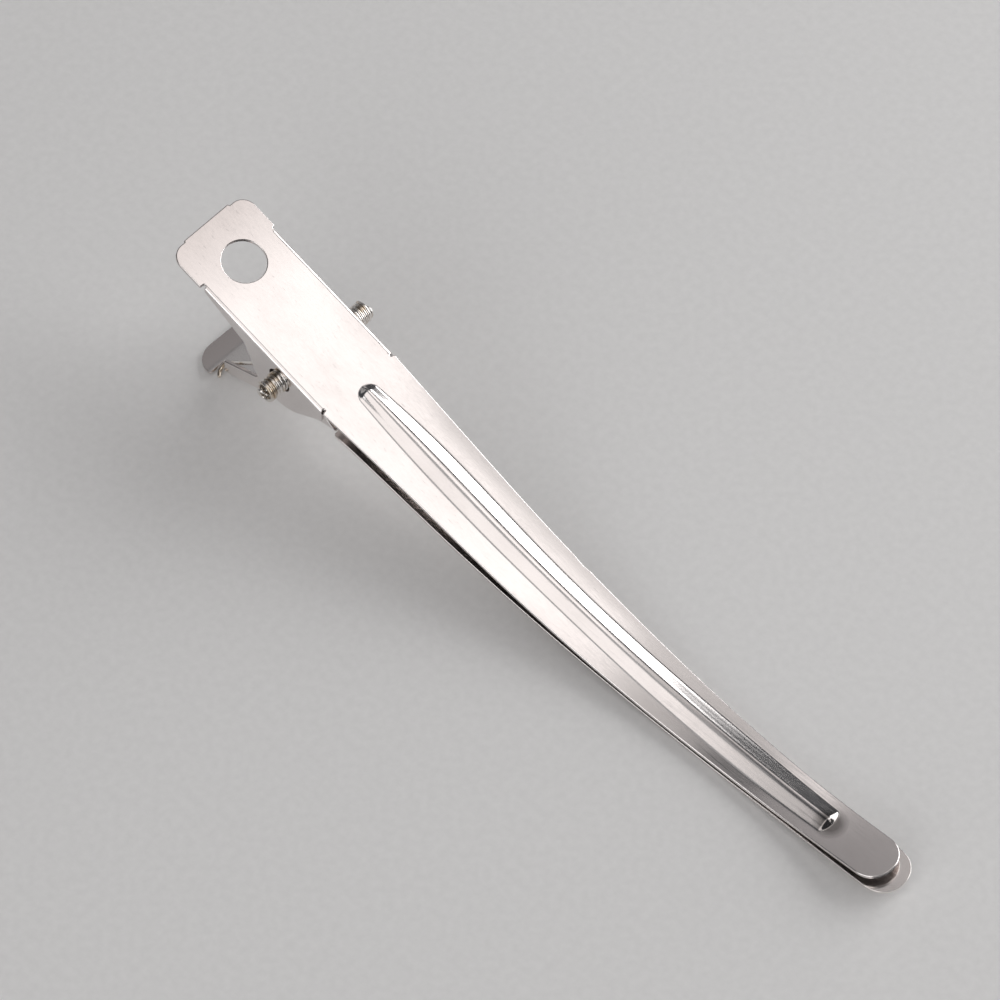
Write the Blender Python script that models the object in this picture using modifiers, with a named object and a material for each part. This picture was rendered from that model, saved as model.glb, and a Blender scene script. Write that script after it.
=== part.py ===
"""Alligator hair clip: two bowed sheet-metal arms turning on the coils of one torsion spring.

Frame: metres. +X runs along the clip from the thumb tabs to the tip of the jaws, +Y across it,
+Z up. The origin is the bottom centre of the whole clip, which lies on the end of its lower
thumb tab and on the belly of its lower blade. Lengths along the clip are given as stations:
the upper arm starts at UPPER_START and the lower arm ends at LOWER_END.
"""

import math

import bmesh
import bpy
from mathutils import Vector

MM = 0.001

# Whole clip
UPPER_START = -1.4 * MM
LOWER_END = 120.4 * MM
SHEET = 0.5 * MM
FOLD_RADIUS = 0.8 * MM           # outer radius of every fold between a plate and its ears
RUNNING_GAP = 0.3 * MM           # kept between pieces that run on each other
RELIEF = 0.4 * MM                # length of the step beside the end of a fold
TIP_ROUNDNESS = 0.94             # corner radius of a tip per half width

# Hinge: the coils of the spring run through one hole in each ear
PIVOT = (18.34 * MM, 12.3 * MM)  # station, height
COIL_RADIUS = 1.55 * MM          # outside of the coils
EAR_HOLE_RADIUS = 1.8 * MM
COLLAR_RADIUS = 2.28 * MM        # round top of the lower ears, which turns under the upper plate

# Upper arm. A bow or a blade is a curve through stations and heights or half widths, in mm.
UPPER_END = 118.4 * MM
UPPER_TAB_HEIGHT = 21.0 * MM     # top face of the thumb tab at station 0
UPPER_TAB_FALL = 0.30            # height lost per length, as far as the end of the folds
UPPER_BOW = ((26, 13.2), (39, 9.9), (53, 5.95), (67, 3.1), (81, 1.6), (94, 1.35), (106, 2.0),
             (118.4, 3.8))
UPPER_BLADE = ((26, 6.4), (40, 5.68), (70, 4.56), (100, 3.42), (113, 3.22), (118.4, 3.2))
UPPER_FOLDS = (4.95 * MM, 26.0 * MM)
UPPER_HALF_WIDTH = 6.45 * MM     # outer face of an ear
UPPER_TAB_HALF_WIDTH = 6.7 * MM
UPPER_TAB_CORNER = 2.0 * MM
UPPER_LOBE_RADIUS = 5.35 * MM    # round ears about the pivot
UPPER_LOBE_END = (21.35 * MM, 7.88 * MM)
TAB_HOLE_RADIUS = 3.05 * MM
TAB_HOLE_STATION = 5.5 * MM

# Bead pressed up along the middle of the upper blade
BEAD = (27.0 * MM, 108.8 * MM)
BEAD_HEIGHT = 0.8 * MM
BEAD_HALF_WIDTH = ((27.0, 1.4), (34, 1.95), (60, 2.05), (95, 2.1), (108.8, 1.8))
BEAD_RUN_OUT = 2.5 * MM

# Lower arm
LOWER_START = 1.6 * MM
LOWER_BOW = ((1.6, 0.0), (4.0, 0.12), (6.4, 0.85), (12.6, 3.45), (18.5, 5.93), (24.0, 8.2),
             (27.4, 9.1), (31.0, 8.7), (45, 5.25), (60, 2.35), (75, 0.65), (91, 0.004),
             (107, 0.72), (120.4, 1.95))
LOWER_BLADE = ((27.6, 6.2), (40, 5.75), (70, 4.65), (100, 3.6), (115, 3.45), (120.4, 3.4))
LOWER_FOLDS = (6.5 * MM, 27.6 * MM)
LOWER_HALF_WIDTH = UPPER_HALF_WIDTH - SHEET - RUNNING_GAP
LOWER_TAB_HALF_WIDTH = 6.95 * MM
LOWER_TAB_CORNER = 3.2 * MM
LOWER_NOTCH = (5.2 * MM, 6.55 * MM)  # stations of its two sides
LOWER_NOTCH_HALF_WIDTH = 4.2 * MM    # of the plate left between the two notches
LOWER_COLLAR_END = 19.4 * MM
LOWER_EAR_CORNER = (25.2 * MM, 11.5 * MM)

# Spring
WIRE = 0.46 * MM
COIL_PITCH = 0.52 * MM
COIL_INNER_END = 4.5 * MM        # distance from the middle plane
COIL_OUTER_END = 9.0 * MM
POINTS_PER_TURN = 11

# Fineness of the surfaces, on one side of the middle plane
PLATE_COLUMNS = (0.0, 0.16, 0.32, 0.48, 1.0)
PLATE_SHARE = 0.88               # of the half width, where an arm has no ears
FOLD_STEPS = 3
EAR_STEPS = 2
CORNER_STEPS = 4
HOLE_SIDES = 40

# Colour, roughness
STEEL = ((0.78, 0.76, 0.74), 0.22)
SPRING_STEEL = ((0.62, 0.57, 0.52), 0.28)


def clear_scene():
    for old in list(bpy.data.objects):
        bpy.data.objects.remove(old, do_unlink=True)


def new_collection(name):
    collection = bpy.data.collections.new(name)
    bpy.context.scene.collection.children.link(collection)
    return collection


def metal(name, colour, roughness):
    material = bpy.data.materials.new(name)
    material.use_nodes = True
    shader = material.node_tree.nodes["Principled BSDF"]
    shader.inputs["Base Color"].default_value = (*colour, 1)
    shader.inputs["Metallic"].default_value = 1
    shader.inputs["Roughness"].default_value = roughness
    return material


def x_at(station):
    return station - (UPPER_START + LOWER_END) / 2


def pivot_point(y=0.0):
    return Vector((x_at(PIVOT[0]), y, PIVOT[1]))


def spline(points):
    """Natural cubic curve through (station, value) pairs given in millimetres."""
    xs = [x * MM for x, _ in points]
    ys = [y * MM for _, y in points]
    last = len(xs) - 1
    steps = [xs[i + 1] - xs[i] for i in range(last)]
    share = [0.0] * (last + 1)
    rest = [0.0] * (last + 1)
    for i in range(1, last):
        rise = 3 * ((ys[i + 1] - ys[i]) / steps[i] - (ys[i] - ys[i - 1]) / steps[i - 1])
        weight = 2 * (xs[i + 1] - xs[i - 1]) - steps[i - 1] * share[i - 1]
        share[i] = steps[i] / weight
        rest[i] = (rise - steps[i - 1] * rest[i - 1]) / weight
    bend = [0.0] * (last + 1)
    for i in range(last - 1, 0, -1):
        bend[i] = rest[i] - share[i] * bend[i + 1]

    def value(x):
        i = 0
        while i < last - 1 and x > xs[i + 1]:
            i += 1
        t = x - xs[i]
        slope = (ys[i + 1] - ys[i]) / steps[i] - steps[i] * (2 * bend[i] + bend[i + 1]) / 3
        return ys[i] + t * (slope + t * (bend[i] + t * (bend[i + 1] - bend[i]) / (3 * steps[i])))

    return value


upper_bow = spline(UPPER_BOW)
upper_blade = spline(UPPER_BLADE)
lower_bow = spline(LOWER_BOW)
lower_blade = spline(LOWER_BLADE)
bead_half_width = spline(BEAD_HALF_WIDTH)


def spread(first, last, count):
    return [first + (last - first) * i / (count - 1) for i in range(count)]


def corner_stations(start, radius, direction):
    """Stations that share out a quarter circle at an end of an arm."""
    angles = spread(0, math.pi / 2, CORNER_STEPS + 1)
    return [start + direction * radius * (1 - math.cos(angle)) for angle in angles]


def rounded_end(distance, radius, half_width):
    """Half width at a distance from a square end with round corners."""
    if distance >= radius:
        return half_width
    return half_width - radius + math.sqrt(radius ** 2 - (radius - distance) ** 2)


def circle_height(station, radius, side):
    """Height of a circle about the pivot, above it or below it."""
    reach = min(abs(station - PIVOT[0]), radius)
    return PIVOT[1] + side * math.sqrt(radius ** 2 - reach ** 2)


def line_height(station, start, slope):
    return start[1] + slope * (station - start[0])


def upper_height(station):
    """Top face of the upper arm on its middle line, the bead left out."""
    if station < UPPER_FOLDS[1]:
        return UPPER_TAB_HEIGHT - UPPER_TAB_FALL * station
    return upper_bow(station)


def upper_outline(station):
    """Half width of the upper arm where it has no ears."""
    if station < UPPER_FOLDS[0]:
        return rounded_end(station - UPPER_START, UPPER_TAB_CORNER, UPPER_TAB_HALF_WIDTH)
    half_width = upper_blade(station)
    return rounded_end(UPPER_END - station, TIP_ROUNDNESS * half_width, half_width)


def lower_outline(station):
    """Half width of the lower arm where it has no ears."""
    if station < LOWER_FOLDS[0]:
        return rounded_end(station - LOWER_START, LOWER_TAB_CORNER, LOWER_TAB_HALF_WIDTH)
    half_width = lower_blade(station)
    return rounded_end(LOWER_END - station, TIP_ROUNDNESS * half_width, half_width)


def upper_ear_edge(station):
    """Height of the free edge of an upper ear: skirt, flank, round lobe and straight front."""
    if station > UPPER_LOBE_END[0]:
        return line_height(station, UPPER_LOBE_END, 0.68)
    skirt = line_height(station, (UPPER_FOLDS[0], 18.65 * MM), -0.6)
    flank = line_height(station, (12.0 * MM, 14.4 * MM), -2.9)
    return min(skirt, max(flank, circle_height(station, UPPER_LOBE_RADIUS, -1)))


def lower_ear_edge(station):
    """Height of the free edge of a lower ear: shoulder, flank, collar, back and front."""
    if station > LOWER_COLLAR_END:
        back = line_height(station, LOWER_EAR_CORNER, -0.48)
        front = line_height(station, LOWER_EAR_CORNER, -0.85)
        return min(back, front)
    shoulder = line_height(station, (LOWER_FOLDS[0], 3.65 * MM), 0.46)
    flank = line_height(station, (12.9 * MM, 6.6 * MM), 1.98)
    return max(shoulder, min(flank, circle_height(station, COLLAR_RADIUS, 1)))


def bead_lift(station, y):
    """Height of the bead above the blade: two rounded flanks that meet at a crown."""
    if not BEAD[0] < station < BEAD[1]:
        return 0.0
    reach = min(1.0, min(station - BEAD[0], BEAD[1] - station) / BEAD_RUN_OUT)
    across = min(1.0, y / bead_half_width(station))
    return BEAD_HEIGHT * math.sin(reach * math.pi / 2) * (1 - across ** 1.5)


def no_lift(station, y):
    return 0.0


def flat_section(station, height, half_width, lift):
    """Outer face from the middle line to one edge, as points (y, z)."""
    shares = [PLATE_SHARE * column for column in PLATE_COLUMNS]
    shares += spread(PLATE_SHARE, 1, FOLD_STEPS + EAR_STEPS + 1)[1:]
    return [(half_width * s, height + lift(station, half_width * s)) for s in shares]


def folded_section(height, half_width, edge, outward):
    """Outer face from the middle line, round the fold and along the ear to its free edge."""
    flat = half_width - FOLD_RADIUS
    points = [(flat * column, height) for column in PLATE_COLUMNS]
    for angle in spread(0, math.pi / 2, FOLD_STEPS + 1)[1:]:
        drop = FOLD_RADIUS * (1 - math.cos(angle))
        points.append((flat + FOLD_RADIUS * math.sin(angle), height - outward * drop))
    ear_start = height - outward * FOLD_RADIUS
    ear_depth = max(outward * (ear_start - edge), SHEET / 2)
    points += [(half_width, ear_start - outward * d) for d in spread(0, ear_depth, EAR_STEPS + 1)[1:]]
    return points


def sheet_arm(name, rows, outward, material):
    """Half an open surface through the sections, mirrored and thickened inwards.

    The arm's origin is on the hinge's axis.
    """
    shell = bmesh.new()
    grid = []
    for station, points in rows:
        along = station - PIVOT[0]
        grid.append([shell.verts.new((along, y, z - PIVOT[1])) for y, z in points])
    for near, far in zip(grid, grid[1:]):
        for column in range(len(near) - 1):
            corners = [near[column], far[column], far[column + 1], near[column + 1]]
            shell.faces.new(corners if outward > 0 else corners[::-1])
    mesh = bpy.data.meshes.new(name)
    shell.to_mesh(mesh)
    shell.free()
    mesh.materials.append(material)
    arm = bpy.data.objects.new(name, mesh)
    arm.location = pivot_point()
    clip.objects.link(arm)
    mirror = arm.modifiers.new("both_sides", "MIRROR")
    mirror.use_axis = (False, True, False)
    mirror.use_clip = True
    mirror.merge_threshold = 0.00001
    solid = arm.modifiers.new("sheet", "SOLIDIFY")
    solid.thickness = SHEET
    solid.offset = -1
    solid.use_even_offset = True
    return arm


def cut_away(arm, cutter, name, centre):
    """Subtract a cutter from an arm and keep it out of sight."""
    cutter.name = name
    cutter.location = centre
    cutter.hide_render = True
    cutter.display_type = "WIRE"
    for holder in list(cutter.users_collection):
        holder.objects.unlink(cutter)
    cutters.objects.link(cutter)
    cut = arm.modifiers.new(name, "BOOLEAN")
    cut.operation = "DIFFERENCE"
    cut.solver = "EXACT"
    cut.object = cutter


def drill(arm, name, centre, direction, radius, length):
    """Cut a round hole through an arm."""
    bpy.ops.mesh.primitive_cylinder_add(vertices=HOLE_SIDES, radius=radius, depth=length)
    cutter = bpy.context.object
    cutter.rotation_euler = direction.to_track_quat("Z", "Y").to_euler()
    cut_away(arm, cutter, name, centre)


def notch(arm, name, stations, half_width, side):
    """Cut a square notch into one edge of an arm."""
    bpy.ops.mesh.primitive_cube_add(size=1)
    cutter = bpy.context.object
    depth = 4 * MM
    cutter.scale = (stations[1] - stations[0], depth, depth)
    middle = sum(stations) / 2
    centre = Vector((x_at(middle), side * (half_width + depth / 2), lower_bow(middle)))
    cut_away(arm, cutter, name, centre)


def build_upper_arm(material):
    fold_start, fold_end = UPPER_FOLDS
    tip_radius = TIP_ROUNDNESS * upper_blade(UPPER_END)
    ears = spread(fold_start, 11.5 * MM, 4) + spread(12.3 * MM, 14.1 * MM, 4)
    ears += spread(15.2 * MM, fold_end, 9)
    flats = corner_stations(UPPER_START, UPPER_TAB_CORNER, 1) + [fold_start - RELIEF, fold_end + RELIEF]
    flats += spread(BEAD[0], BEAD[0] + BEAD_RUN_OUT, 4) + spread(34 * MM, 103 * MM, 14)
    flats += spread(BEAD[1] - BEAD_RUN_OUT, BEAD[1], 4) + [112 * MM]
    flats += corner_stations(UPPER_END, tip_radius, -1)
    rows = []
    for station in sorted(ears + flats):
        height = upper_height(station)
        if station in ears:
            points = folded_section(height, UPPER_HALF_WIDTH, upper_ear_edge(station), 1)
        else:
            points = flat_section(station, height, upper_outline(station), bead_lift)
        rows.append((station, points))
    arm = sheet_arm("upper_arm", rows, 1, material)
    hole = Vector((x_at(TAB_HOLE_STATION), 0, upper_height(TAB_HOLE_STATION)))
    drill(arm, "tab_hole_cutter", hole, Vector((UPPER_TAB_FALL, 0, 1)), TAB_HOLE_RADIUS, 4 * MM)
    drill(arm, "upper_ear_cutter", pivot_point(), Vector((0, 1, 0)), EAR_HOLE_RADIUS, 20 * MM)


def build_lower_arm(material):
    fold_start, fold_end = LOWER_FOLDS
    tip_radius = TIP_ROUNDNESS * lower_blade(LOWER_END)
    ears = spread(fold_start, 12.9 * MM, 5) + spread(13.8 * MM, 16.3 * MM, 5)
    ears += spread(17 * MM, 19.4 * MM, 5) + spread(21 * MM, 25.2 * MM, 4)
    ears += [26.4 * MM, fold_end]
    flats = corner_stations(LOWER_START, LOWER_TAB_CORNER, 1)
    flats += [fold_start - RELIEF, fold_end + RELIEF] + spread(31 * MM, 114 * MM, 18)
    flats += corner_stations(LOWER_END, tip_radius, -1)
    rows = []
    for station in sorted(ears + flats):
        height = lower_bow(station)
        if station in ears:
            points = folded_section(height, LOWER_HALF_WIDTH, lower_ear_edge(station), -1)
        else:
            points = flat_section(station, height, lower_outline(station), no_lift)
        rows.append((station, points))
    arm = sheet_arm("lower_arm", rows, -1, material)
    drill(arm, "lower_ear_cutter", pivot_point(), Vector((0, 1, 0)), EAR_HOLE_RADIUS, 20 * MM)
    notch(arm, "near_notch_cutter", LOWER_NOTCH, LOWER_NOTCH_HALF_WIDTH, -1)
    notch(arm, "far_notch_cutter", LOWER_NOTCH, LOWER_NOTCH_HALF_WIDTH, 1)


def coil_point(angle, y, radius):
    return pivot_point(y) + Vector((radius * math.cos(angle), 0, radius * math.sin(angle)))


def coil_points(start_angle, side):
    """One coil, wound outwards from its leg, and the turn of the wire into its bore."""
    radius = COIL_RADIUS - WIRE / 2
    turns = (COIL_OUTER_END - COIL_INNER_END) / COIL_PITCH
    points = []
    for step in range(round(turns * POINTS_PER_TURN) + 1):
        angle = start_angle - side * 2 * math.pi * step / POINTS_PER_TURN
        y = COIL_INNER_END + COIL_PITCH * step / POINTS_PER_TURN
        points.append(coil_point(angle, -side * y, radius))
    last_angle = angle
    for step in range(1, 7):
        angle = last_angle - side * math.pi * step / 6
        y = COIL_OUTER_END + COIL_PITCH * min(1.0, step / 3)
        points.append(coil_point(angle, -side * y, radius * (1 - step / 6)))
    return points


def build_spring(material):
    """One wire: leg, coil, straight run back through the bore, coil and leg."""
    lower_hook = Vector((x_at(5.85 * MM), -4.75 * MM, lower_bow(5.85 * MM)))
    lower_leg = [lower_hook + Vector((0, -0.2 * MM, 0.2 * MM)),
                 lower_hook + Vector((0, 0, 1.0 * MM)),
                 lower_hook + Vector((0.6 * MM, 0.15 * MM, 1.6 * MM))]
    upper_end = Vector((x_at(6.0 * MM), 4.5 * MM, upper_height(6.0 * MM) - 1.1 * MM))
    near = coil_points(math.radians(130), 1)
    far = coil_points(math.radians(64), -1)
    points = lower_leg + near + far[::-1] + [upper_end]
    curve = bpy.data.curves.new("torsion_spring", "CURVE")
    curve.dimensions = "3D"
    curve.bevel_depth = WIRE / 2
    curve.bevel_resolution = 2
    curve.use_fill_caps = True
    route = curve.splines.new("POLY")
    route.points.add(len(points) - 1)
    for target, point in zip(route.points, points):
        target.co = (*point, 1)
    curve.materials.append(material)
    clip.objects.link(bpy.data.objects.new("torsion_spring", curve))


clear_scene()
clip = new_collection("alligator_hair_clip")
cutters = new_collection("cutters")
build_upper_arm(metal("upper_steel", *STEEL))
build_lower_arm(metal("lower_steel", *STEEL))
build_spring(metal("spring_steel", *SPRING_STEEL))
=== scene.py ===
"""Looks for the alligator hair clip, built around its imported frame. Metres, +Z up.

Each arm is drawn the way it is made: a flat pattern in (station, girth), with its holes and
relief slots, is given rolled-over sheared edges and is then bent round its folds and bowed.
Stations are distances in mm along the clip, from -1.4 at the end of the upper thumb tab to
120.4 at the tip of the lower jaw. Girth is the distance in mm across the sheet from the middle
line, round the fold and along the ear.
"""

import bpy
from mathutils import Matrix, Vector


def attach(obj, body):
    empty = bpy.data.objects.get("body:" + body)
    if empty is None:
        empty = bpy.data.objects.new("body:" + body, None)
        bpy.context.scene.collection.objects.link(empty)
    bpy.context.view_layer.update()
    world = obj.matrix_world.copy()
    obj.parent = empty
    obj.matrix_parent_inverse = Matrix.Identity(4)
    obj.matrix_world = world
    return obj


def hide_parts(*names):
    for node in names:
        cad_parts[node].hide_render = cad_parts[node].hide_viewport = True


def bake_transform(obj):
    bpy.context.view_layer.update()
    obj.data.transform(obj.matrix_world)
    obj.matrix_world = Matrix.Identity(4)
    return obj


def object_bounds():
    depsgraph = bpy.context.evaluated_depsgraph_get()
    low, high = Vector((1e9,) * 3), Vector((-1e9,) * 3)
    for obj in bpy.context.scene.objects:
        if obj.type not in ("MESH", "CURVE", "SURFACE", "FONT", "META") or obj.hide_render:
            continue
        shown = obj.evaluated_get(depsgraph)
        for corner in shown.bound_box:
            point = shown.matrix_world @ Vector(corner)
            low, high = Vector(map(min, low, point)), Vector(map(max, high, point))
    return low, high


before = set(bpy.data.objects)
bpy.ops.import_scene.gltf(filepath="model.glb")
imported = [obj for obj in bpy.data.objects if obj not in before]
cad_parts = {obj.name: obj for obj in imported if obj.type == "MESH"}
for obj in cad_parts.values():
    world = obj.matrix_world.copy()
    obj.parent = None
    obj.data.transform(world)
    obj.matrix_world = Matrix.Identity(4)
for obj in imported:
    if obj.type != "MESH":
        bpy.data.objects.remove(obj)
cad_box = [list(corner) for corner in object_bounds()]

import math

import bpy
import numpy as np
from mathutils import Matrix, Vector, geometry

MM = 0.001
SHEET = 0.5
FOLD = 0.62                       # outer radius of the folds
ARC = FOLD * math.pi / 2          # girth used up by a fold
TAB_END = -1.4                    # station of the end of the upper thumb tab
UPPER_TIP = 118.4
LENGTH = 120.4                    # station of the tip of the lower jaw
MIDDLE = (TAB_END + LENGTH) / 2
PIVOT = (18.34, 12.3)             # station and height of the hinge axis
EAR_HOLE_RADIUS = 1.8
OUTLINE_STEP = 0.24               # longest side of an outline
EAR_HOLE_STEP = 0.2
LATTICE_CLEARANCE = 0.13          # from the points of an outline to those inside it
TIP_ROUNDING = 0.94               # corner radius of a tip, as a share of its half width


def linked(name, data):
    """A new object in the scene."""
    made = bpy.data.objects.new(name, data)
    bpy.context.scene.collection.objects.link(made)
    return made


# ------------------------------------------------------------------ curves

def natural_spline(points):
    """Natural cubic curve through (station, value) pairs, as a function of an array."""
    xs = np.array([p[0] for p in points], float)
    ys = np.array([p[1] for p in points], float)
    steps = np.diff(xs)
    count = len(xs)
    matrix = np.eye(count)
    rest = np.zeros(count)
    for i in range(1, count - 1):
        matrix[i, i - 1:i + 2] = steps[i - 1], 2 * (steps[i - 1] + steps[i]), steps[i]
        rest[i] = 3 * ((ys[i + 1] - ys[i]) / steps[i] - (ys[i] - ys[i - 1]) / steps[i - 1])
    bend = np.linalg.solve(matrix, rest)

    def value(x):
        x = np.asarray(x, float)
        i = np.clip(np.searchsorted(xs, x, side="right") - 1, 0, count - 2)
        t = x - xs[i]
        slope = (ys[i + 1] - ys[i]) / steps[i] - steps[i] * (2 * bend[i] + bend[i + 1]) / 3
        return ys[i] + t * (slope + t * (bend[i] + t * (bend[i + 1] - bend[i]) / (3 * steps[i])))

    return value


def smoothed(curve, radius):
    """The curve with its kinks rounded over a distance, and its slope, as two functions."""
    table = np.arange(-20, 140, 0.1)
    values = curve(np.clip(table, TAB_END, LENGTH))
    first = (curve(TAB_END + 0.05) - curve(TAB_END)) / 0.05
    last = (curve(LENGTH) - curve(LENGTH - 0.05)) / 0.05
    values = values + np.where(table < TAB_END, (table - TAB_END) * first, 0)
    values = values + np.where(table > LENGTH, (table - LENGTH) * last, 0)
    reach = int(radius / 0.1)
    kernel = np.hanning(2 * reach + 1)
    kernel /= kernel.sum()
    soft = np.convolve(values, kernel, mode="same")
    slope = np.gradient(soft, table)
    return (lambda s: np.interp(s, table, soft)), (lambda s: np.interp(s, table, slope))


UPPER_BOW = natural_spline(((26, 13.2), (39, 9.9), (53, 5.95), (67, 3.1), (81, 1.6), (94, 1.35),
                            (106, 2.0), (UPPER_TIP, 3.8)))
UPPER_BLADE = natural_spline(((26, 6.4), (40, 5.68), (70, 4.56), (100, 3.42), (113, 3.22),
                              (UPPER_TIP, 3.2)))
LOWER_BOW = natural_spline(((1.6, 0.0), (4.0, 0.12), (6.4, 0.85), (12.6, 3.45), (18.5, 5.93),
                            (24.0, 8.2), (27.4, 9.1), (31.0, 8.7), (45, 5.25), (60, 2.35),
                            (75, 0.65), (91, 0.004), (107, 0.72), (LENGTH, 1.95)))
LOWER_BLADE = natural_spline(((27.6, 6.2), (40, 5.75), (70, 4.65), (100, 3.6), (115, 3.45),
                              (LENGTH, 3.4)))
BEAD = (27.0, 108.8)
BEAD_HALF_WIDTH = natural_spline(((BEAD[0], 1.4), (34, 1.95), (60, 2.05), (95, 2.1),
                                  (BEAD[1], 1.8)))
PLATE_END = 26.0                  # station where the upper arm's straight plate becomes its blade


def upper_line(s):
    """Height of the upper arm: a straight slope down to the end of its ears, then the bow."""
    return np.where(s < PLATE_END, 21.0 - 0.30 * s, UPPER_BOW(np.maximum(s, PLATE_END)))


# ------------------------------------------------------------------ flat patterns

def arc(centre, radius, first, last, steps):
    """Points of an arc, angles in degrees."""
    angles = np.radians(np.linspace(first, last, steps))
    return [(centre[0] + radius * math.cos(a), centre[1] + radius * math.sin(a)) for a in angles]


def resample(points, spacing):
    """A closed outline with extra points, so that none of its sides is longer than spacing."""
    out = []
    for here, there in zip(points, points[1:] + points[:1]):
        here, there = np.array(here, float), np.array(there, float)
        length = np.linalg.norm(there - here)
        if length < 0.02:
            continue
        parts = max(1, math.ceil(length / spacing))
        out += [here + (there - here) * i / parts for i in range(parts)]
    return np.array(out)


def inward(loop, distance):
    """The loop moved towards the material, which lies on its left."""
    before = loop - np.roll(loop, 1, axis=0)
    after = np.roll(loop, -1, axis=0) - loop
    before /= np.linalg.norm(before, axis=1)[:, None]
    after /= np.linalg.norm(after, axis=1)[:, None]
    n1 = np.stack([-before[:, 1], before[:, 0]], 1)
    n2 = np.stack([-after[:, 1], after[:, 0]], 1)
    middle = n1 + n2
    middle /= np.maximum(np.linalg.norm(middle, axis=1), 1e-6)[:, None]
    stretch = 1 / np.maximum((middle * n1).sum(1), 0.7)
    return loop + middle * (distance * stretch)[:, None]


def inside(points, loops):
    """Which points lie inside the first loop and outside the others."""
    x, y = points[:, 0], points[:, 1]
    odd = np.zeros(len(points), bool)
    for loop in loops:
        nxt = np.roll(loop, -1, axis=0)
        for (x0, y0), (x1, y1) in zip(loop, nxt):
            if y0 == y1:
                continue
            spans = (y0 > y) != (y1 > y)
            odd ^= spans & (x < x0 + (y - y0) * (x1 - x0) / (y1 - y0))
    return odd


def clear_of(points, loops, distance):
    """Which points are at least that far from every loop."""
    ok = np.ones(len(points), bool)
    cells = {}
    for i, key in enumerate(map(tuple, np.floor(points).astype(int))):
        cells.setdefault(key, []).append(i)
    for loop in loops:
        for px, py in loop:
            cx, cy = math.floor(px), math.floor(py)
            for key in ((cx + dx, cy + dy) for dx in (-1, 0, 1) for dy in (-1, 0, 1)):
                near = cells.get(key)
                if near:
                    near = np.array(near)
                    gap = np.hypot(points[near, 0] - px, points[near, 1] - py)
                    ok[near[gap < distance]] = False
    return ok


def outward(loop):
    """Unit vectors away from the material, at every point of a loop."""
    away = loop - inward(loop, 0.01)
    return away / np.linalg.norm(away, axis=1)[:, None]


def unit(vectors):
    return vectors / np.maximum(np.linalg.norm(vectors, axis=1), 1e-9)[:, None]


def normal_of(place, flat, depth, away, lean):
    """Surface normals: the sheet's own, leaning towards its edge by an angle in degrees."""
    s, c, d = flat[:, 0], flat[:, 1], np.full(len(flat), depth)
    step = 0.004
    along = place(s + step, c, d) - place(s - step, c, d)
    across = place(s, c + step, d) - place(s, c - step, d)
    face = unit(np.cross(along, across))
    shallow = place(s, c, d * 0) - place(s, c, d * 0 + SHEET)
    face *= np.sign((face * shallow).sum(1))[:, None]
    edge = unit(along) * away[:, :1] + unit(across) * away[:, 1:]
    angle = math.radians(lean)
    return unit(face * math.cos(angle) + edge * math.sin(angle))


def sheet_metal(name, loops, place, stations, girths, roll_top=0.14, roll_bottom=0.07):
    """A bent sheet from its flat pattern: two faces, joined all round by a rolled-over edge."""
    profile = [(roll_top * (1 - math.sin(a)), roll_top * (1 - math.cos(a)))
               for a in np.radians((0, 18, 36, 54, 72, 90))]
    profile += [(roll_bottom * (1 - math.cos(a)), SHEET - roll_bottom * (1 - math.sin(a)))
                for a in np.radians((0, 30, 60, 90))]
    leans = (0, 18, 36, 54, 72, 90, 90, 120, 150, 180)
    lattice = np.array([(s, c) for s in stations for c in girths])
    innermost = [inward(loop, profile[0][0]) for loop in loops]
    lattice = lattice[inside(lattice, innermost)]
    lattice = lattice[clear_of(lattice, innermost, LATTICE_CLEARANCE)]
    flat = np.concatenate(innermost + [lattice])
    edges = []
    start = 0
    for loop in loops:
        count = len(loop)
        edges += [(start + i, start + (i + 1) % count) for i in range(count)]
        start += count
    found = geometry.delaunay_2d_cdt([Vector(p) for p in flat], edges, [], 0, 1e-7, True)
    spots, triangles, origins = found[0], found[2], found[3]
    back = [origin[0] if origin else None for origin in origins]
    middles = np.array([np.mean([spots[i] for i in tri], axis=0) for tri in triangles])
    keep = inside(middles, innermost)
    caps = [[back[i] for i in tri] for tri, ok in zip(triangles, keep)
            if ok and None not in [back[i] for i in tri]]

    rim_count = start
    away = np.concatenate([outward(loop) for loop in loops])
    vertices, normals, rings = [], [], []
    for (offset, depth), lean in zip(profile, leans):
        ring = np.concatenate([inward(loop, offset) for loop in loops])
        rings.append(sum(len(v) for v in vertices))
        vertices.append(place(ring[:, 0], ring[:, 1], np.full(len(ring), depth)))
        normals.append(normal_of(place, ring, depth, away, lean))
    top_start = sum(len(v) for v in vertices)
    bottom_start = top_start + len(lattice)
    for depth, lean in ((0.0, 0), (SHEET, 180)):
        vertices.append(place(lattice[:, 0], lattice[:, 1], np.full(len(lattice), depth)))
        normals.append(normal_of(place, lattice, depth, np.zeros((len(lattice), 2)), lean))
    faces = []
    for tri in caps:
        faces.append([rings[0] + i if i < rim_count else top_start + i - rim_count for i in tri])
        faces.append([rings[-1] + i if i < rim_count else bottom_start + i - rim_count
                      for i in tri[::-1]])
    for near, far in zip(rings, rings[1:]):
        for a, b in edges:
            faces.append([near + a, far + a, far + b, near + b])
    if vertices[-2][0, 2] < vertices[-1][0, 2]:    # a sheet whose ears point up is mirrored
        faces = [face[::-1] for face in faces]
    mesh = bpy.data.meshes.new(name)
    mesh.from_pydata((np.concatenate(vertices) * MM).tolist(), [], faces)
    mesh.shade_smooth()
    normals = np.concatenate(normals)
    mesh.normals_split_custom_set_from_vertices(normals.tolist())
    return linked(name, mesh)


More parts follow.
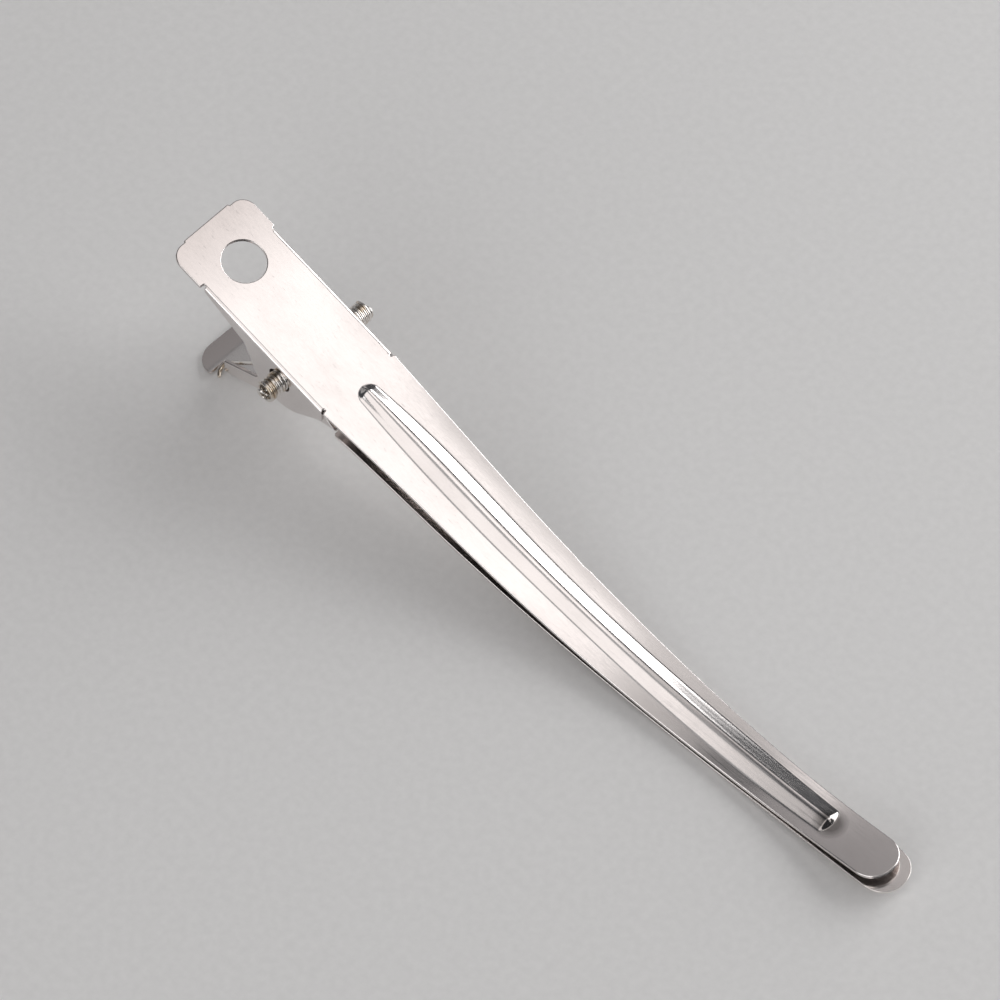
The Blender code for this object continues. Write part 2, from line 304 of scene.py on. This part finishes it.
def bent(line, folds, half_width, up, lift):
    """How a flat pattern is bent: a function from station, girth and depth to x, y, z in mm.

    The ears are folded between the two stations in folds, and hang down where up is 1.
    """
    height, slope = line
    flat = half_width - FOLD          # girth at which a fold starts

    def place(s, c, depth):
        girth = np.abs(c)
        limit = np.where((s > folds[0]) & (s < folds[1]), flat, 1e3)
        turn = np.clip((girth - limit) / FOLD, 0, math.pi / 2)
        drop = np.maximum(girth - limit - ARC, 0)
        y = np.minimum(girth, limit) + FOLD * np.sin(turn)
        z = -FOLD * (1 - np.cos(turn)) - drop + lift(s, c)
        tilt = slope(s) * np.cos(turn)
        size = np.sqrt(1 + tilt ** 2)
        nx, ny, nz = -tilt * up / size, np.sin(turn) / size, np.cos(turn) / size
        return np.stack([s - MIDDLE - depth * nx, np.sign(c) * (y - depth * ny),
                         height(s) + up * (z - depth * nz)], 1)

    return place


# ------------------------------------------------------------------ upper arm

upper = smoothed(upper_line, 4.0)
UPPER_HALF = 6.45
UPPER_FLAT = UPPER_HALF - FOLD
UPPER_FOLDS = (4.8, 26.16)        # first and last station of the upper ears' folds
TAB = 6.7                         # half width of the thumb tab
TAB_CORNER = 2.0
NICK_STATION = 61.5
NICK_DEPTH = 0.2
BEAD_HEIGHT = 0.78
BEAD_RISE = 1.25                  # length of the bead's rounded start
CAMBER = 0.0045


def upper_girth(s, z):
    """Girth of a point of an upper ear at a station and a height."""
    return UPPER_FLAT + ARC + float(upper[0](s)) - FOLD - z


def upper_ear_edge(s):
    """Height of an upper ear's lower edge at a station."""
    if s > 21.35:
        return 7.88 + 0.68 * (s - 21.35)
    skirt = 18.65 - 0.6 * (s - 4.95)
    flank = 14.4 - 2.9 * (s - 12.0)
    lobe = PIVOT[1] - math.sqrt(5.35 ** 2 - min(abs(s - PIVOT[0]), 5.35) ** 2)
    return min(skirt, max(flank, lobe))


def tab_end(c):
    """The sheared end of the thumb tab: a little skewed, and stepped beside each corner."""
    step = 0.26 if c > 4.0 else 0.2 if c < -4.0 else 0.0
    return TAB_END + 0.1 - 0.0225 * c + step


def upper_side(side):
    """One side of the flat pattern from the middle of the tab to the middle of the tip."""
    points = [(tab_end(side * c), c) for c in (0.0, 2.0, 3.9, 4.05)]
    edge = tab_end(side * 4.7)
    slot = 4.6 if side < 0 else 4.4
    points += [(edge + s, c) for s, c in arc((TAB_CORNER, TAB - TAB_CORNER), TAB_CORNER,
                                            180, 90, 12)]
    bottom = UPPER_FLAT + (0.18 if side < 0 else 0.42)
    points += [(slot - 0.12, TAB), (slot, TAB - 0.12), (slot, bottom + 0.12),
               (slot + 0.1, bottom), (4.87, bottom), (4.95, bottom + 0.12)]
    for s in np.concatenate([np.linspace(4.95, 11.4, 10), np.linspace(11.7, 15.2, 22),
                             np.linspace(15.5, PLATE_END, 42)]):
        points.append((float(s), upper_girth(s, upper_ear_edge(s))))
    points += [(PLATE_END, UPPER_FLAT + 0.14), (26.08, UPPER_FLAT + 0.02),
               (26.24, UPPER_FLAT + 0.02), (26.32, UPPER_FLAT + 0.14), (26.34, 6.25), (26.5, 6.4)]
    tip = float(UPPER_BLADE(UPPER_TIP))
    radius = TIP_ROUNDING * tip
    for s in np.linspace(27.2, UPPER_TIP - radius, 90):
        nick = NICK_DEPTH * math.exp(-((s - NICK_STATION) / 0.6) ** 2) if side > 0 else 0.0
        points.append((float(s), float(UPPER_BLADE(s)) - nick))
    points += arc((UPPER_TIP - radius, tip - radius), radius, 90, 0, 24)[1:]
    return points + [(UPPER_TIP, 0.0)]


def whole_outline(side_function):
    """A closed outline from the function that gives either of its sides."""
    positive = side_function(1)
    negative = [(s, -c) for s, c in side_function(-1)]
    return positive[:-1] + negative[::-1][:-1]


def bead_profile(x):
    """Height across the bead against its half width: an arched near side, a straight far one."""
    t = np.linspace(0, 1.4, 561)
    foot = np.clip((1.18 - t) / 0.56, 0, 1)
    near = np.clip(t / 0.62, 0, 1) ** 0.9 * foot * foot * (3 - 2 * foot)
    far = np.clip(t / 0.36, 0, 1) * np.clip((1.12 - t) / 0.30, 0, 1)
    sides = []
    for steep in (near, far):
        run = np.concatenate([[0], np.cumsum((steep[1:] + steep[:-1]) / 2)])
        sides.append(1 - run / run[-1])
    return np.where(x < 0, np.interp(-x, t, sides[0]), np.interp(x, t, sides[1]))


def bead(s, c):
    """Height of the pressed bead above the sheet, less the blade's slight camber."""
    width = BEAD_HALF_WIDTH(np.clip(s, *BEAD))
    first = np.clip((BEAD[0] + BEAD_RISE - s) / BEAD_RISE, 0, 2)
    last = np.clip((s - (BEAD[1] - 0.9)) / 0.8, 0, 2)
    across = c / width
    radial = np.sqrt(across ** 2 + first ** 2 + last ** 2)
    lift = BEAD_HEIGHT * bead_profile(np.where(c < 0, -radial, radial))
    camber = CAMBER * c * c * np.clip((s - PLATE_END) / 12, 0, 1)
    return np.where(np.abs(c) < 4, lift, 0.0) - camber


upper_place = bent(upper, UPPER_FOLDS, UPPER_HALF, 1, bead)
TAB_HOLE = (5.52, 0.15)
TAB_HOLE_RADIUS = 2.98
ALONG_SLOPE = 0.957               # stations to one of distance along the sloping plate
tab_hole = [(TAB_HOLE[0] + s * ALONG_SLOPE, TAB_HOLE[1] + c)
            for s, c in arc((0, 0), TAB_HOLE_RADIUS, 360, 0, 73)[:-1]]


def ear_hole(girth, side):
    """Round hole for the coils, in the flat pattern of one ear."""
    points = arc(PIVOT, EAR_HOLE_RADIUS, 0, 360, 57)[:-1]
    loop = [(s, side * girth(s, z)) for s, z in points]
    return loop if side > 0 else loop[::-1]


def oriented(loop, hole):
    """The loop as an array, turned so that the material is on its left."""
    nxt = np.roll(loop, -1, axis=0)
    area = (loop[:, 0] * nxt[:, 1] - nxt[:, 0] * loop[:, 1]).sum()
    return loop if (area > 0) != hole else loop[::-1].copy()


def girth_lines(dense_half, dense_step, plain, flat, deepest):
    """Lattice girths: close over the bead, close round the fold, wider apart elsewhere."""
    half = list(np.arange(0, dense_half, dense_step))
    half += list(np.linspace(dense_half, flat - 0.2, plain))
    half += list(np.linspace(flat, flat + ARC, 11))
    half += list(np.arange(flat + ARC + 0.25, deepest, 0.45))
    half = np.array(sorted(half))
    return np.concatenate([-half[:0:-1], half])


upper_loops = [oriented(resample(whole_outline(upper_side), OUTLINE_STEP), False),
               oriented(resample(tab_hole, OUTLINE_STEP), True),
               oriented(resample(ear_hole(upper_girth, 1), EAR_HOLE_STEP), True),
               oriented(resample(ear_hole(upper_girth, -1), EAR_HOLE_STEP), True)]
upper_arm = sheet_metal("upper_arm_sheet", upper_loops, upper_place,
                        np.concatenate([np.arange(-1.3, 26.4, 0.42), np.arange(26.5, 29.5, 0.14),
                                        np.arange(29.7, 105, 0.42), np.arange(105.2, 110.6, 0.12),
                                        np.arange(110.9, UPPER_TIP, 0.42)]),
                        girth_lines(2.9, 0.13, 9, UPPER_FLAT, 18))

# ------------------------------------------------------------------ lower arm

LOWER_HALF = 5.65
LOWER_FLAT = LOWER_HALF - FOLD
LOWER_START = 1.6                 # station of the end of the lower thumb tab
LOWER_FOLDS = (5.9, 27.73)
LOWER_TAB = 6.95
LOWER_TAB_CORNER = 3.2
LOWER_EAR_END = 27.6
lower = smoothed(lambda s: LOWER_BOW(np.maximum(s, LOWER_START)), 1.5)


def lower_girth(s, z):
    """Girth of a point of a lower ear at a station and a height."""
    return LOWER_FLAT + ARC + z - float(lower[0](s)) - FOLD


def lower_ear_edge(s):
    """Height of a lower ear's upper edge at a station."""
    if s > 19.4:
        return min(11.5 - 0.48 * (s - 25.2), 11.5 - 0.85 * (s - 25.2))
    shoulder = 3.65 + 0.46 * (s - 6.5)
    flank = 6.6 + 1.98 * (s - 12.9)
    collar = PIVOT[1] + math.sqrt(max(2.28 ** 2 - (s - PIVOT[0]) ** 2, 0))
    return max(shoulder, min(flank, collar))


def lower_side(_side):
    """One side of the flat pattern, from the tab to the tip. Both sides are alike."""
    corner = LOWER_TAB_CORNER
    points = [(LOWER_START, 0.0), (LOWER_START, 2.2)]
    points += [(LOWER_START + s, c)
               for s, c in arc((corner, LOWER_TAB - corner), corner, 180, 90, 16)]
    points += [(5.1, LOWER_TAB), (5.2, 6.85), (5.2, 4.55), (5.34, 4.42), (6.36, 4.42), (6.5, 4.55)]
    for s in np.concatenate([np.linspace(6.5, 12.6, 12), np.linspace(12.9, 19.4, 40),
                             np.linspace(19.9, 25.2, 14), np.linspace(25.5, LOWER_EAR_END, 9)]):
        points.append((float(s), lower_girth(s, lower_ear_edge(s))))
    wave = [0.05 * math.sin(5 * i) for i in range(8)]
    foot = lower_girth(LOWER_EAR_END, lower_ear_edge(LOWER_EAR_END))
    points += [(LOWER_EAR_END + w, c)
               for w, c in zip(wave, np.linspace(foot - 0.25, LOWER_FLAT + 0.3, 8))]
    points += [(LOWER_EAR_END, LOWER_FLAT + 0.3), (27.66, LOWER_FLAT + 0.22),
               (27.78, LOWER_FLAT + 0.22), (27.86, LOWER_FLAT + 0.3), (27.88, 5.9), (28.1, 6.1)]
    tip = float(LOWER_BLADE(LENGTH))
    radius = TIP_ROUNDING * tip
    for s in np.linspace(28.8, LENGTH - radius, 90):
        points.append((float(s), float(LOWER_BLADE(s))))
    points += arc((LENGTH - radius, tip - radius), radius, 90, 0, 24)[1:]
    return points + [(LENGTH, 0.0)]


lower_place = bent(lower, LOWER_FOLDS, LOWER_HALF, -1, lambda s, c: 0 * s)
lower_loops = [oriented(resample(whole_outline(lower_side), OUTLINE_STEP), False),
               oriented(resample(ear_hole(lower_girth, 1), EAR_HOLE_STEP), True),
               oriented(resample(ear_hole(lower_girth, -1), EAR_HOLE_STEP), True)]
lower_arm = sheet_metal("lower_arm_sheet", lower_loops, lower_place,
                        np.arange(1.8, LENGTH, 0.45),
                        girth_lines(0.4, 0.4, 12, LOWER_FLAT, 17))

# ------------------------------------------------------------------ spring

WIRE = 0.5
COIL_RADIUS = 1.55                # outside of the coils
COIL_PITCH = 0.52
COIL_START = 4.5                  # distance from the middle plane
COIL_END = 9.0
TURN_POINTS = 40
RETURN_POINTS = 20                # on the half turn back into the bore


def tube(name, route, radius, sides):
    """A closed round wire along a route, with domed ends. Points in mm."""
    route = np.array(route, float)
    ahead = np.gradient(route, axis=0)
    ahead /= np.linalg.norm(ahead, axis=1)[:, None]
    side = np.cross(ahead[0], (0.3, 0.5, 0.8))
    side /= np.linalg.norm(side)
    vertices, rings = [], []
    angles = np.linspace(0, 2 * math.pi, sides, endpoint=False)
    dome = [(math.cos(a), math.sin(a)) for a in np.radians((12, 30, 50, 70))]
    sections = [(0, -along, share) for along, share in dome]
    sections += [(i, 0, 1) for i in range(len(route))]
    sections += [(len(route) - 1, along, share) for along, share in dome[::-1]]
    for index, along, share in sections:
        side = side - ahead[index] * side.dot(ahead[index])
        side /= np.linalg.norm(side)
        other = np.cross(ahead[index], side)
        centre = route[index] + ahead[index] * along * radius
        rings.append(len(vertices))
        vertices += [centre + share * radius * (math.cos(a) * side + math.sin(a) * other)
                     for a in angles]
    faces = []
    for near, far in zip(rings, rings[1:]):
        faces += [[near + i, near + (i + 1) % sides, far + (i + 1) % sides, far + i]
                  for i in range(sides)]
    faces.append([rings[0] + i for i in range(sides)][::-1])
    faces.append([rings[-1] + i for i in range(sides)])
    mesh = bpy.data.meshes.new(name)
    mesh.from_pydata((np.array(vertices) * MM).tolist(), [], faces)
    mesh.shade_smooth()
    return linked(name, mesh)


def flowing(points, spacing):
    """A smooth route through a few points, with even steps."""
    points = np.array(points, float)
    knots = np.concatenate([[0], np.cumsum(np.linalg.norm(np.diff(points, axis=0), axis=1))])
    steps = np.linspace(0, knots[-1], max(3, int(knots[-1] / spacing)))
    curves = [natural_spline(list(zip(knots, points[:, axis]))) for axis in range(3)]
    return np.stack([curve(steps) for curve in curves], 1)


def coil(start_angle, side):
    """One coil, wound outwards, and the turn of its wire back into its bore."""
    radius = COIL_RADIUS - WIRE / 2
    centre = np.array([PIVOT[0] - MIDDLE, 0, PIVOT[1]])
    points = []
    turns = (COIL_END - COIL_START) / COIL_PITCH
    count = round(turns * TURN_POINTS)
    for step in range(count + 1):
        angle = start_angle - side * 2 * math.pi * step / TURN_POINTS
        y = COIL_START + COIL_PITCH * step / TURN_POINTS
        points.append(centre + (radius * math.cos(angle), -side * y, radius * math.sin(angle)))
    last = angle
    for step in range(1, RETURN_POINTS + 1):
        angle = last - side * math.pi * step / RETURN_POINTS
        y = COIL_END + 0.3 * math.sin(math.pi * step / RETURN_POINTS)
        reach = radius * (1 - step / RETURN_POINTS)
        points.append(centre + (reach * math.cos(angle), -side * y, reach * math.sin(angle)))
    return points


def at(station, y, z):
    """A point of the wire's route, in mm."""
    return (station - MIDDLE, y, z)


near_coil = coil(math.radians(130), 1)
far_coil = coil(math.radians(64), -1)
hook = flowing([at(6.15, -6.3, 0.5), at(5.75, -5.9, 0.55), at(5.62, -5.35, 0.85),
                at(5.9, -4.9, 1.6), at(6.8, -4.72, 2.6), near_coil[0]], 0.14)
bore = flowing([near_coil[-1], (near_coil[-1] + far_coil[-1]) / 2, far_coil[-1]], 0.6)
upper_end = at(6.0, 4.5, float(upper[0](6.0)) - 1.1)
upper_leg = flowing([far_coil[0], (np.array(far_coil[0]) + upper_end) / 2, upper_end], 0.3)
route = list(hook[:-1]) + near_coil + list(bore[1:-1]) + far_coil[::-1] + list(upper_leg[1:])
spring = tube("spring_wire", route, WIRE / 2, 16)

# ------------------------------------------------------------------ materials


class Nodes:
    """Short calls for building one material."""

    def __init__(self, name):
        self.material = bpy.data.materials.new(name)
        self.material.use_nodes = True
        self.tree = self.material.node_tree
        self.shader = self.tree.nodes["Principled BSDF"]
        self.place = self.tree.nodes.new("ShaderNodeTexCoord").outputs["Object"]

    def node(self, kind, inputs=(), **settings):
        made = self.tree.nodes.new(kind)
        for key, value in settings.items():
            setattr(made, key, value)
        for key, value in dict(inputs).items():
            if isinstance(value, bpy.types.NodeSocket):
                self.tree.links.new(value, made.inputs[key])
            else:
                made.inputs[key].default_value = value
        return made

    def stretched(self, scale, turn=(0, 0, 0)):
        """Object coordinates in metres, turned and scaled."""
        return self.node("ShaderNodeMapping", {"Vector": self.place, "Scale": scale,
                                               "Rotation": turn}).outputs["Vector"]

    def noise(self, vector, detail=2.0, roughness=0.5, scale=1.0):
        return self.node("ShaderNodeTexNoise", {"Vector": vector, "Scale": scale,
                                                "Detail": detail,
                                                "Roughness": roughness}).outputs["Fac"]

    def ramp(self, value, low, high, to_low=0.0, to_high=1.0):
        return self.node("ShaderNodeMapRange", {"Value": value, "From Min": low, "From Max": high,
                                                "To Min": to_low,
                                                "To Max": to_high}).outputs["Result"]

    def maths(self, operation, a, b):
        return self.node("ShaderNodeMath", {0: a, 1: b}, operation=operation).outputs[0]

    def blend_colour(self, factor, a, b):
        """Colour a where the factor is 0 and b where it is 1. Either may be a socket."""
        ends = {end: value if isinstance(value, bpy.types.NodeSocket) else (*value, 1)
                for end, value in (("A", a), ("B", b))}
        return self.node("ShaderNodeMix", {"Factor": factor, **ends},
                         data_type="RGBA").outputs["Result"]

    def bump(self, height, strength, distance, normal=None):
        inputs = {"Height": height, "Strength": strength, "Distance": distance}
        if normal is not None:
            inputs["Normal"] = normal
        return self.node("ShaderNodeBump", inputs).outputs["Normal"]

    def set(self, name, value):
        if isinstance(value, bpy.types.NodeSocket):
            self.tree.links.new(value, self.shader.inputs[name])
        else:
            self.shader.inputs[name].default_value = value


# Painted shade: the thumb tabs are darkened, and a dark spot is painted at the end of the bead;
# both are tuned. The spot also reaches the lower blade.
PAINTED_BEAD_END_SHADE = (0.0489, 0.0, 0.0024)     # centre of the painted shade, at the end of the bead
PAINTED_BEAD_END_SHADE_REACH = (0.0011, 0.0024)    # distances over which it fades
PAINTED_BEAD_END_SHADE_COLOUR = (0.26, 0.24, 0.23)
TAB_PAINTED_SHADE = (-0.061, -0.048)        # x over which the painted shade on the thumb tabs fades out
# colour of the smudges, and of the painted shade on the thumb tabs
SMUDGE_AND_SHADE_PLATING = (0.62, 0.575, 0.56)
PLATING_ROUGHNESS = 0.13


def plated_steel(name, clean, smudge_and_shade, rough):
    """Bright plating over rolled sheet: lengthwise grain, ripple, faint smudges, scratches, with
    painted shade on the thumb tabs and a painted dark spot at the end of the bead.
    """
    m = Nodes(name)
    grain = m.noise(m.stretched((45, 3600, 3600)), detail=3.0, roughness=0.62)
    ripple = m.noise(m.stretched((140, 420, 420)), detail=2.0)
    smudge = m.noise(m.stretched((60, 130, 130)), detail=4.0, roughness=0.6)
    hazy = m.noise(m.stretched((700, 700, 700), (0.3, 0.5, 0.2)), detail=5.0, roughness=0.7)
    scratch_a = m.noise(m.stretched((28, 3200, 3200), (0, 0, math.radians(13))), detail=0.0)
    scratch_b = m.noise(m.stretched((36, 3600, 3600), (0, 0, math.radians(-21))), detail=0.0)
    scratches = m.maths("MAXIMUM", m.ramp(scratch_a, 0.76, 0.84), m.ramp(scratch_b, 0.77, 0.85))
    soil = m.maths("MULTIPLY", m.ramp(smudge, 0.38, 0.72), m.ramp(hazy, 0.25, 0.75, 0.5, 1.0))
    station = m.node("ShaderNodeSeparateXYZ", {"Vector": m.place}).outputs["X"]
    # painted shade on the thumb tabs, blended in with the smudges
    tab = m.ramp(station, *TAB_PAINTED_SHADE, 1.0, 0.0)
    plating = m.blend_colour(m.maths("MAXIMUM", m.maths("MULTIPLY", soil, 0.35), tab),
                             clean, smudge_and_shade)
    # painted shade: the base colour darkens near the end of the bead, on both blades
    away = m.node("ShaderNodeVectorMath", {0: m.place, 1: PAINTED_BEAD_END_SHADE}, operation="DISTANCE")
    spot = m.ramp(away.outputs["Value"], *PAINTED_BEAD_END_SHADE_REACH, 0.85, 0.0)
    m.set("Base Color", m.blend_colour(spot, plating, PAINTED_BEAD_END_SHADE_COLOUR))
    m.set("Metallic", 1.0)
    rough_grain = m.ramp(grain, 0.3, 0.7, rough - 0.03, rough + 0.04)
    roughness = m.maths("ADD", rough_grain, m.maths("MULTIPLY", soil, 0.06))
    m.set("Roughness", m.maths("ADD", roughness, m.maths("MULTIPLY", scratches, 0.08)))
    normal = m.bump(ripple, 0.08, 0.00005)
    normal = m.bump(grain, 0.10, 0.00001, normal)
    m.set("Normal", m.bump(scratches, 0.06, 0.000005, normal))
    return m.material


def wire_steel(name):
    """Drawn spring wire, darker and warmer than the plating, with brown patches."""
    m = Nodes(name)
    patch = m.noise(m.stretched((420, 900, 420)), detail=3.0)
    draw = m.noise(m.stretched((3500, 3500, 3500)), detail=2.0)
    m.set("Base Color", m.blend_colour(m.ramp(patch, 0.46, 0.66), (0.84, 0.81, 0.78),
                                       (0.58, 0.48, 0.37)))
    m.set("Metallic", 1.0)
    m.set("Roughness", m.ramp(draw, 0.3, 0.7, 0.16, 0.30))
    m.set("Normal", m.bump(draw, 0.2, 0.00002))
    return m.material


def finish_piece(piece, node, material):
    piece.data.materials.append(material)
    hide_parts(node)


finish_piece(upper_arm, "upper_arm",
             plated_steel("plated_upper", (0.91, 0.87, 0.855), SMUDGE_AND_SHADE_PLATING, PLATING_ROUGHNESS))
finish_piece(lower_arm, "lower_arm",
             plated_steel("plated_lower", (0.88, 0.84, 0.82), SMUDGE_AND_SHADE_PLATING, PLATING_ROUGHNESS))
finish_piece(spring, "torsion_spring", wire_steel("drawn_wire"))
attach(upper_arm, "upper_jaw")
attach(lower_arm, "lower_jaw")
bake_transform(spring)

# ------------------------------------------------------------------ floor, light, camera

FLOOR_HALF = 1.5
FLOOR_GAP = 0.00002
LAMP_DISTANCE = 0.8
WARM = (1.0, 0.96, 0.94)
WARMER = (1.0, 0.95, 0.94)
NEUTRAL = (1, 1, 1)


def floor_surface():
    m = Nodes("pale_paper")
    speck = m.noise(m.stretched((900, 900, 900)), detail=3.0)
    m.set("Base Color", m.blend_colour(m.ramp(speck, 0.3, 0.7), (0.78, 0.775, 0.77),
                                       (0.82, 0.815, 0.81)))
    m.set("Roughness", 0.7)
    m.set("Normal", m.bump(speck, 0.15, 0.00005))
    return m.material


def make_floor():
    mesh = bpy.data.meshes.new("floor")
    mesh.from_pydata([(x * FLOOR_HALF, y * FLOOR_HALF, 0)
                      for x, y in ((-1, -1), (1, -1), (1, 1), (-1, 1))], [], [(0, 1, 2, 3)])
    mesh.materials.append(floor_surface())
    floor = linked("floor", mesh)
    floor.location.z = cad_box[0][2] - FLOOR_GAP


# name, direction, distance, size, radiance, colour
SOFTBOXES = (
    ("overhead", (0.075, 0.288, 0.957), LAMP_DISTANCE, (0.32, 0.275), 1.18, WARM),
    ("overhead_left", (-0.19, 0.288, 0.957), LAMP_DISTANCE, (0.11, 0.275), 0.50, WARM),
    ("overhead_edge", (-0.094, 0.519, 0.855), LAMP_DISTANCE, (0.57, 0.133), 0.60, WARM),
    ("tip_fill", (-0.59, 0.38, 0.71), LAMP_DISTANCE, (0.50, 0.42), 0.24, WARMER),
    ("tab_side", (-0.92, 0.13, 0.34), LAMP_DISTANCE, (0.70, 0.25), 0.3, NEUTRAL),
    ("near_fill", (0.0, 0.0, 1.0), LAMP_DISTANCE, (0.55, 0.20), 0.32, NEUTRAL),
    ("front_high", (0.025, -0.454, 0.891), LAMP_DISTANCE, (0.48, 0.58), 1.02, WARM),
    ("front_left", (-0.36, -0.454, 0.891), 0.86, (0.16, 0.58), 0.50, WARM),
    ("front_low", (0.15, -0.92, 0.40), LAMP_DISTANCE, (0.8, 0.45), 1.8, NEUTRAL),
    ("back_low", (0.34, 0.92, 0.39), LAMP_DISTANCE, (1.0, 0.58), 3.4, NEUTRAL),
)


def softbox(name, direction, distance, size, radiance, colour):
    """A rectangular light in a direction from the clip, its long side lying along the clip."""
    light = bpy.data.lights.new(name, "AREA")
    light.shape = "RECTANGLE"
    light.size, light.size_y = size
    light.energy = radiance * math.pi * size[0] * size[1]
    light.color = colour
    lamp = linked(name, light)
    aim = Vector(direction).normalized()
    lamp.location = aim * distance
    lamp.rotation_mode = "QUATERNION"
    across = Vector((0, 0, 1)).cross(aim) if abs(aim.z) < 0.7 else Vector((1, 0, 0))
    across = (across - aim * across.dot(aim)).normalized()
    axes = Matrix((across, aim.cross(across), aim)).transposed()
    lamp.rotation_quaternion = axes.to_quaternion()


CAMERA_AZIMUTH = math.radians(44.51)
CAMERA_ELEVATION = math.radians(57.72)
CAMERA_TARGET = Vector((-0.01158, 0.00377, 0.005))
CAMERA_DISTANCE = 0.541
CAMERA_LENS = 152.6


def make_camera():
    azimuth, elevation = CAMERA_AZIMUTH, CAMERA_ELEVATION
    back = Vector((math.sin(azimuth) * math.cos(elevation),
                   -math.cos(azimuth) * math.cos(elevation), math.sin(elevation)))
    camera = bpy.data.cameras.new("camera")
    camera.lens = CAMERA_LENS
    camera.sensor_width = 36
    camera.clip_start = 0.01
    eye = linked("camera", camera)
    eye.location = CAMERA_TARGET + back * CAMERA_DISTANCE
    eye.rotation_mode = "QUATERNION"
    eye.rotation_quaternion = (-back).to_track_quat("-Z", "Y")
    bpy.context.scene.camera = eye


def make_world():
    world = bpy.data.worlds.new("studio")
    world.use_nodes = True
    background = world.node_tree.nodes["Background"]
    background.inputs["Color"].default_value = (0.9, 0.93, 1.0, 1)
    background.inputs["Strength"].default_value = 0.06
    bpy.context.scene.world = world


make_floor()
make_world()
make_camera()
for settings in SOFTBOXES:
    softbox(*settings)
bpy.context.scene.view_settings.view_transform = "Standard"
